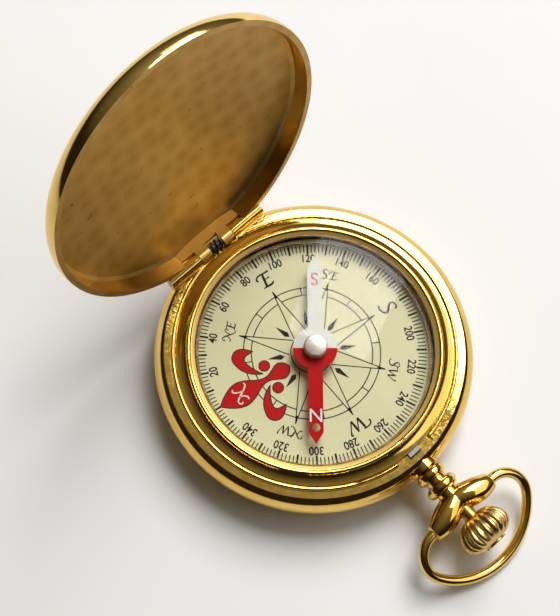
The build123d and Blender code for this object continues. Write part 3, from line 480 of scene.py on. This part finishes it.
class Film:
    """Flat shapes gathered into one thin layer of print, drawn in millimetres."""

    def __init__(self):
        self.mesh = bmesh.new()

    def polygon(self, points, at=Matrix()):
        self.mesh.faces.new([self.mesh.verts.new(at @ Vector((x, y, 0.0))) for x, y in points])

    def line(self, points, widths, at=Matrix(), closed=False):
        """A band along the points, with one width for each point."""
        count = len(points)
        sides = []
        for index, (x, y) in enumerate(points):
            before = points[index - 1] if closed or index else points[0]
            after = points[(index + 1) % count] if closed or index + 1 < count else points[-1]
            way = Vector((after[0] - before[0], after[1] - before[1])).normalized() * widths[index] / 2
            pair = [at @ Vector((x - way.y, y + way.x, 0.0)), at @ Vector((x + way.y, y - way.x, 0.0))]
            sides.append([self.mesh.verts.new(corner) for corner in pair])
        for index in range(count if closed else count - 1):
            (a, b), (c, d) = sides[index], sides[(index + 1) % count]
            self.mesh.faces.new((a, c, d, b))

    def bar(self, start, end, width, at=Matrix()):
        self.line((start, end), (width, width), at)

    def outline(self, points, width):
        self.line(points, [width] * len(points), closed=True)

    def stroke(self, points, at=Matrix()):
        """A pen stroke through points given with their widths."""
        path = smooth_path(points)
        self.line([point[:2] for point in path], [point[2] for point in path], at)

    def arc(self, radius, start, end, width, steps):
        bearings = [math.radians(start + (end - start) * step / steps) for step in range(steps + 1)]
        self.line([(radius * math.sin(b), radius * math.cos(b)) for b in bearings], [width] * len(bearings))

    def words(self, text, height, narrow, at, bold=0.0):
        """Plain upright characters, centred, with their feet on the frame's X axis."""
        curve = bpy.data.curves.new("characters", "FONT")
        curve.body = text
        curve.align_x = "CENTER"
        curve.offset = bold
        holder = bpy.data.objects.new("characters", curve)
        bpy.context.collection.objects.link(holder)
        flat = bpy.data.meshes.new_from_object(holder.evaluated_get(bpy.context.evaluated_depsgraph_get()))
        bpy.data.objects.remove(holder)
        scale = height / max(corner.co.y for corner in flat.vertices)
        start = len(self.mesh.verts)
        self.mesh.from_mesh(flat)
        self.mesh.verts.ensure_lookup_table()
        for corner in self.mesh.verts[start:]:
            corner.co = at @ Vector((corner.co.x * scale * narrow, corner.co.y * scale, 0.0))
        bpy.data.meshes.remove(flat)

    def finish(self, name, body, slot, material, place, thickness):
        """Turns the shapes into a thin closed layer that rides on a body."""
        parts = bmesh.ops.extrude_face_region(self.mesh, geom=self.mesh.faces[:])["geom"]
        raised = [item for item in parts if isinstance(item, bmesh.types.BMVert)]
        bmesh.ops.translate(self.mesh, verts=raised, vec=(0.0, 0.0, thickness))
        bmesh.ops.recalc_face_normals(self.mesh, faces=self.mesh.faces[:])
        bmesh.ops.transform(self.mesh, matrix=place, verts=self.mesh.verts[:])
        show(name, self.mesh, material, body)


def skin(rings):
    """A closed smooth mesh over rings of points given in millimetres."""
    mesh = bmesh.new()
    rows = [[mesh.verts.new(Vector(corner) * MM) for corner in ring] for ring in rings]
    for near, far in zip(rows, rows[1:]):
        for index in range(len(near)):
            after = (index + 1) % len(near)
            mesh.faces.new((near[index], near[after], far[after], far[index]))
    mesh.faces.new(rows[0])
    mesh.faces.new(rows[-1])
    bmesh.ops.recalc_face_normals(mesh, faces=mesh.faces[:])
    for face in mesh.faces:
        face.smooth = len(face.verts) == 4
    return mesh


def ridged_crown(material):
    """The crown: plump rounded ridges with narrow valleys, drawn together at both ends."""
    count = CROWN_RIDGES * CROWN_RIDGE_STEPS
    rings = []
    for along, radius in smooth_path(CROWN_PROFILE):
        ring = []
        for step in range(count):
            across = 2.0 * (step % CROWN_RIDGE_STEPS) / CROWN_RIDGE_STEPS - 1.0
            out = radius * (1.0 - CROWN_VALLEY * across ** 2)
            turn = 2.0 * math.pi * step / count
            ring.append((out * math.cos(turn), CROWN_NEAR_END - along, CROWN_AXIS_HEIGHT + out * math.sin(turn)))
        rings.append(ring)
    piece = show("crown_ridges", skin(rings), material, "crown")
    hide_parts("crown")


def turned_cap(material):
    """The cap on the needle's hub: a turned button with a low cone on top."""
    rings = [[(x, y, height) for x, y in circle((0.0, 0.0), out)] for out, height in smooth_path(CAP_PROFILE)]
    piece = show("needle_cap_turned", skin(rings), material, "needle")
    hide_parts("needle_cap")


def hinge_fillets(material):
    """Fillets along the lid's plate that close the slits beside the case's knuckles."""
    turns = [math.radians(FILLET_TURN * step / FILLET_STEPS) for step in range(FILLET_STEPS + 1)]
    section = [(FILLET_RADIUS * math.cos(turn), FILLET_RADIUS * math.sin(turn)) for turn in turns]
    section += [(FILLET_ROOT, section[-1][1]), (FILLET_ROOT, 0.0)]
    axis = Vector((0.0, HINGE_AXIS_Y, HINGE_AXIS_Z))
    for side, name in ((-1, "left"), (1, "right")):
        rings = []
        for reach in (FILLET_START, FILLET_END):
            middle = axis + Vector((side * reach, 0.0, 0.0))
            rings.append([middle - Vector(LID_INWARD) * out + Vector(LID_ALONG) * along for out, along in section])
        show("lid_hinge_fillet_" + name, skin(rings), material, "lid")


# Pen strokes of the compass letters: x, y and width, with y towards the rim
LETTERS = {
    "E": (
        ((-0.89, 0.43, 0.20), (-1.06, 0.73, 0.19), (-0.81, 1.07, 0.17), (-0.37, 1.20, 0.19),
         (0.30, 1.20, 0.17), (1.0, 1.21, 0.22), (1.15, 1.33, 0.05)),
        ((0.13, 1.15, 0.22), (0.02, 0.60, 0.27), (-0.10, -0.20, 0.27), (-0.20, -0.88, 0.24)),
        ((0.0, 0.29, 0.13), (0.45, 0.28, 0.13), (0.82, 0.31, 0.22)),
        ((-0.80, -0.93, 0.08), (-0.30, -0.86, 0.20), (0.25, -0.88, 0.23),
         (0.72, -0.82, 0.23), (1.15, -0.54, 0.07)),
    ),
    "S": (
        ((0.68, 1.03, 0.22), (0.60, 1.30, 0.17), (0.18, 1.46, 0.14), (-0.27, 1.20, 0.17),
         (-0.36, 0.84, 0.21), (-0.10, 0.42, 0.27), (0.36, 0.08, 0.28), (0.58, -0.27, 0.26),
         (0.40, -0.71, 0.20), (-0.10, -0.97, 0.17), (-0.60, -0.98, 0.18), (-0.92, -0.74, 0.20)),
    ),
    "W": (
        ((-1.56, -0.36, 0.20), (-1.68, -0.08, 0.18), (-1.44, 0.29, 0.15), (-1.0, 0.46, 0.15), (-0.30, 0.50, 0.12)),
        ((-0.58, 0.48, 0.20), (-0.44, -0.40, 0.27), (-0.26, -1.43, 0.20)),
        ((-0.26, -1.40, 0.15), (0.18, -0.50, 0.13), (0.60, 0.42, 0.12)),
        ((0.56, 0.46, 0.20), (0.66, -0.45, 0.27), (0.80, -1.43, 0.20)),
        ((0.80, -1.40, 0.15), (1.32, -0.52, 0.13), (1.70, 0.20, 0.17), (1.78, 0.46, 0.18), (1.54, 0.50, 0.20)),
    ),
    "N": (
        ((-1.07, 0.20, 0.19), (-1.22, 0.46, 0.16), (-1.05, 0.73, 0.13), (-0.73, 0.78, 0.15),
         (-0.40, 0.48, 0.19), (0.10, -0.25, 0.19), (0.45, -0.80, 0.17), (0.77, -1.21, 0.15),
         (1.05, -1.38, 0.13), (1.32, -1.25, 0.16)),
        ((-0.20, 0.30, 0.13), (-0.30, -0.21, 0.14), (-0.57, -0.64, 0.15),
         (-0.92, -0.82, 0.15), (-1.12, -0.70, 0.17)),
        ((0.34, -0.62, 0.13), (0.44, 0.02, 0.13), (0.66, 0.52, 0.14), (0.93, 0.76, 0.13), (1.20, 0.60, 0.18)),
    ),
}

# Where the letters stand: bearing, radius, then each letter with its scale and shift
LETTER_PLACES = (
    (90, 12.85, (("E", 1.0, 0.0, 0.0),)),
    (180, 13.0, (("S", 1.0, 0.0, 0.0),)),
    (270, 13.0, (("W", 1.0, 0.0, 0.0),)),
    (45, 12.3, (("N", 0.73, -0.35, 0.25), ("E", 0.58, 1.07, 0.0))),
    (135, 12.1, (("S", 0.63, -0.83, 0.02), ("E", 0.58, 0.50, 0.06))),
    (225, 12.3, (("S", 0.63, -1.15, -0.43), ("W", 0.66, 0.24, 0.0))),
    (315, 12.3, (("N", 0.73, -0.43, 0.05), ("W", 0.66, 1.07, 0.17))),
)

# Fleur-de-lis: half the outline of its spear, and the two sides of its right hook, as across and out
FLEUR_SPEAR = (
    (0.0, 15.55), (0.95, 14.35), (1.66, 12.95), (1.80, 11.65), (1.30, 10.2), (0.72, 9.2), (0.38, 8.2),
    (0.42, 7.3), (0.75, 6.5), (1.12, 5.75), (1.20, 5.1), (0.78, 4.35), (0.0, 3.87),
)
FLEUR_HOOK_OUTER = (
    (4.60, 7.30), (5.15, 7.75), (5.80, 8.60), (5.95, 9.50), (5.50, 10.25), (4.80, 10.55),
    (3.90, 10.45), (2.85, 10.05), (1.95, 9.30), (1.35, 8.50), (1.0, 7.78),
)
FLEUR_HOOK_INNER = ((1.0, 7.78), (1.8, 8.30), (2.9, 8.82), (3.88, 9.07), (4.45, 8.73), (4.58, 8.0), (4.60, 7.30))


def letter(film, name, at, scale=1.0, shift=(0.0, 0.0)):
    """Draws one compass letter in a frame."""
    weight = scale * LETTER_WEIGHT
    for stroke in LETTERS[name]:
        film.stroke([(x * scale + shift[0], y * scale + shift[1], width * weight) for x, y, width in stroke], at)


def mirrored(points):
    """The same outline on the left."""
    return [(-x, y) for x, y in reversed(points)]


def fleur_outlines():
    """The closed outlines of the fleur-de-lis: its spear, its hooked petals and its dots."""
    half = smooth_path(FLEUR_SPEAR)
    spear = half + mirrored(half[1:-1])
    hook = smooth_path(FLEUR_HOOK_OUTER)[:-1] + smooth_path(FLEUR_HOOK_INNER)[:-1]
    dot = circle(FLEUR_DOT, FLEUR_DOT_RADIUS)
    return spear, hook, mirrored(hook), dot, mirrored(dot)


def dial_scale(film):
    """Degree ticks and numerals round the rim."""
    for bearing in range(0, FULL_TURN, TICK_STEP):
        if bearing % TICK_BOLD_STEP:
            film.bar((0.0, TICK_INNER), (0.0, TICK_OUTER), TICK_WIDTH, around(bearing))
        else:
            film.bar((0.0, TICK_BOLD_INNER), (0.0, TICK_OUTER), TICK_BOLD_WIDTH, around(bearing))
    for bearing in range(NUMERAL_STEP, FULL_TURN, NUMERAL_STEP):
        if bearing != FULL_TURN // 2:
            film.words(str(bearing), NUMERAL_HEIGHT, NUMERAL_NARROW, around(bearing, NUMERAL_FOOT), NUMERAL_BOLD)


def dial_rose(film):
    """The double ring, the slender points, the darts and the hub ring."""
    step = FULL_TURN / POINT_COUNT
    slope = POINT_HALF_WIDTH / (POINT_TIP - POINT_FOOT)
    for index in range(POINT_COUNT):
        bearing = index * step
        middle = around(bearing + step / 2)
        film.bar((0.0, RING_INNER), (0.0, RING_OUTER), RING_LINE, middle)
        dart = [(0.0, DART_FOOT), (DART_HALF_WIDTH, DART_WIDEST), (0.0, DART_TIP), (-DART_HALF_WIDTH, DART_WIDEST)]
        film.polygon(dart, middle)
        for radius in (RING_OUTER, RING_INNER):
            gap = math.degrees(slope * (POINT_TIP - radius) / radius)
            film.arc(radius, bearing + gap, bearing + step - gap, RING_LINE, CIRCLE_STEPS)
        if bearing:
            for side in (-1, 1):
                film.bar((side * POINT_HALF_WIDTH, POINT_FOOT), (0.0, POINT_TIP), POINT_LINE, around(bearing))
            wide = slope * (POINT_TIP - POINT_DARK)
            film.polygon([(-wide, POINT_DARK), (wide, POINT_DARK), (0.0, POINT_TIP + POINT_LINE)], around(bearing))
    film.arc(HUB_RING, 0, FULL_TURN, HUB_LINE, 2 * CIRCLE_STEPS)


def dial_print():
    """All that is printed on the dial card."""
    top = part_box("dial_card")[1][2]
    place = Matrix.Translation((0.0, 0.0, top)) @ Matrix.Diagonal((MM, MM, MM, 1.0))
    turn = Matrix.Rotation(math.radians(NORTH_ANGLE - 90.0), 4, "Z")
    place = place @ Matrix.Translation((*DIAL_CENTRE, 0.0)) @ turn
    black = ink("ink_black", light=(0.028, 0.027, 0.025), dark=(0.016, 0.016, 0.015))
    red = ink("ink_red", light=(0.52, 0.011, 0.012), dark=(0.44, 0.007, 0.008))
    white = ink("ink_white", light=(0.80, 0.74, 0.58), dark=(0.72, 0.66, 0.50))

    film = Film()
    dial_scale(film)
    film.finish("dial_degree_scale", "case", "dial_print", black, place, FILM_BLACK)

    film = Film()
    dial_rose(film)
    for bearing, radius, letters in LETTER_PLACES:
        for name, scale, right, out in letters:
            letter(film, name, around(bearing, radius), scale, (right, out))
    film.finish("dial_rose", "case", "dial_print", black, place, FILM_BLACK)

    fill, edge = Film(), Film()
    for points in fleur_outlines():
        fill.polygon(points)
        edge.outline(points, FLEUR_EDGE)
    fill.finish("dial_fleur", "case", "dial_print", red, place, FILM_RED)
    edge.finish("dial_fleur_edge", "case", "dial_print", black, place, FILM_EDGE)

    film = Film()
    letter(film, "N", around(0, FLEUR_LETTER_RADIUS))
    film.finish("dial_fleur_letter", "case", "dial_print", white, place, FILM_WHITE)


def needle_letters():
    """A white N on the needle's red half and a red S on its white half."""
    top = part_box("needle_blade")[1][2]
    turn = Matrix.Rotation(math.radians(NEEDLE_ANGLE - 90.0), 4, "Z")
    place = Matrix.Translation((0.0, 0.0, top)) @ Matrix.Diagonal((MM, MM, MM, 1.0)) @ turn
    white = ink("needle_ink_white", light=(0.84, 0.82, 0.80), dark=(0.76, 0.74, 0.72))
    red = ink("needle_ink_red", light=(0.62, 0.10, 0.10), dark=(0.54, 0.07, 0.07))
    for text, middle, material in (("N", NEEDLE_NORTH_LETTER, white), ("S", NEEDLE_SOUTH_LETTER, red)):
        film = Film()
        foot = Matrix.Translation((0.0, middle - NEEDLE_LETTER_HEIGHT / 2, 0.0))
        film.words(text, NEEDLE_LETTER_HEIGHT, narrow=1.0, at=foot)
        film.finish("needle_letter_" + text, "needle", "needle_paint", material, place, FILM_BLACK)


def floor():
    """A pale table top."""
    shader = Shader("table_white")
    place = shader.place()
    cloud = shader.noise(place, scale=14.0, detail=4.0)
    fine = shader.noise(place, scale=700.0, detail=4.0)
    shader.set(
        Base_Color=shader.ramp(cloud, TABLE_DARK, TABLE_LIGHT),
        Roughness=0.7,
        Normal=shader.bump(fine, distance=0.00003, strength=0.2),
    )
    data = bpy.data.meshes.new("table_top")
    corners = [(side * TABLE_HALF, end * TABLE_HALF, 0.0) for side, end in ((-1, -1), (1, -1), (1, 1), (-1, 1))]
    data.from_pydata(corners, [], [(0, 1, 2, 3)])
    data.materials.append(shader.material)
    table = bpy.data.objects.new("table_top", data)
    bpy.context.collection.objects.link(table)


def camera():
    """The photograph's camera."""
    azimuth, elevation, roll = (math.radians(a) for a in (CAMERA_AZIMUTH, CAMERA_ELEVATION, CAMERA_ROLL))
    level = Vector((math.cos(azimuth), math.sin(azimuth), 0.0))
    flat = math.cos(elevation)
    back = Vector((math.sin(azimuth) * flat, -math.cos(azimuth) * flat, math.sin(elevation)))
    rise = back.cross(level)
    right = math.cos(roll) * level + math.sin(roll) * rise
    up = -math.sin(roll) * level + math.cos(roll) * rise
    place = Vector(CAMERA_TARGET) + back * CAMERA_DISTANCE - right * CAMERA_SHIFT_RIGHT - up * CAMERA_SHIFT_UP
    data = bpy.data.cameras.new("camera")
    data.sensor_fit = "HORIZONTAL"
    data.sensor_width = SENSOR_WIDTH
    data.lens = CAMERA_FOCAL_PIXELS * SENSOR_WIDTH / IMAGE_WIDTH
    data.clip_start, data.clip_end = CAMERA_NEAR, CAMERA_FAR
    eye = bpy.data.objects.new("camera", data)
    eye.matrix_world = Matrix.Translation(place * MM) @ Matrix((right, up, back)).transposed().to_4x4()
    bpy.context.collection.objects.link(eye)
    bpy.context.scene.camera = eye


def softbox(name, place, size, power):
    """A rectangular soft light aimed at the object."""
    data = bpy.data.lights.new(name, "AREA")
    data.shape = "RECTANGLE"
    data.size, data.size_y = size
    data.energy = power
    light = bpy.data.objects.new(name, data)
    light.location = place
    light.rotation_euler = (-place).to_track_quat("-Z", "Y").to_euler()
    bpy.context.collection.objects.link(light)


def toward(azimuth, elevation):
    """The direction at these angles."""
    turn, rise = math.radians(azimuth), math.radians(elevation)
    return Vector((math.cos(turn) * math.cos(rise), math.sin(turn) * math.cos(rise), math.sin(rise)))


def room():
    """A dim warm room, lighter round the window, that the polished metal mirrors."""
    world = bpy.data.worlds.new("room")
    bpy.context.scene.world = world
    world.use_nodes = True
    tree = world.node_tree
    sky = tree.nodes["Background"]
    way = tree.nodes.new("ShaderNodeTexCoord")
    lean = tree.nodes.new("ShaderNodeVectorMath")
    lean.operation = "DOT_PRODUCT"
    lean.inputs[1].default_value = toward(ROOM_AZIMUTH, ROOM_ELEVATION)
    shades = tree.nodes.new("ShaderNodeValToRGB")
    tree.links.new(way.outputs["Generated"], lean.inputs[0])
    tree.links.new(lean.outputs["Value"], shades.inputs["Fac"])
    tree.links.new(shades.outputs["Color"], sky.inputs["Color"])
    low, high = shades.color_ramp.elements
    low.position, low.color = ROOM_DARK
    high.position, high.color = ROOM_LIGHT
    middle_position, middle_colour = ROOM_MIDDLE
    shades.color_ramp.elements.new(middle_position).color = middle_colour


def lights():
    """Soft daylight from a window beyond the picture's top edge, and from a wide pale wall to its right."""
    window = toward(WINDOW_AZIMUTH, WINDOW_ELEVATION) * WINDOW_DISTANCE
    softbox("window", window, WINDOW_SIZE, WINDOW_POWER)
    wall = toward(WALL_AZIMUTH, WALL_ELEVATION) * WALL_DISTANCE
    softbox("wall", wall, WALL_SIZE, WALL_POWER)


bpy.context.scene.view_settings.view_transform = "Standard"
crown_gold, cap_satin, plate_gold = dress_nodes()
ridged_crown(crown_gold)
turned_cap(cap_satin)
hinge_fillets(plate_gold)
dial_print()
needle_letters()
floor()
camera()
room()
lights()
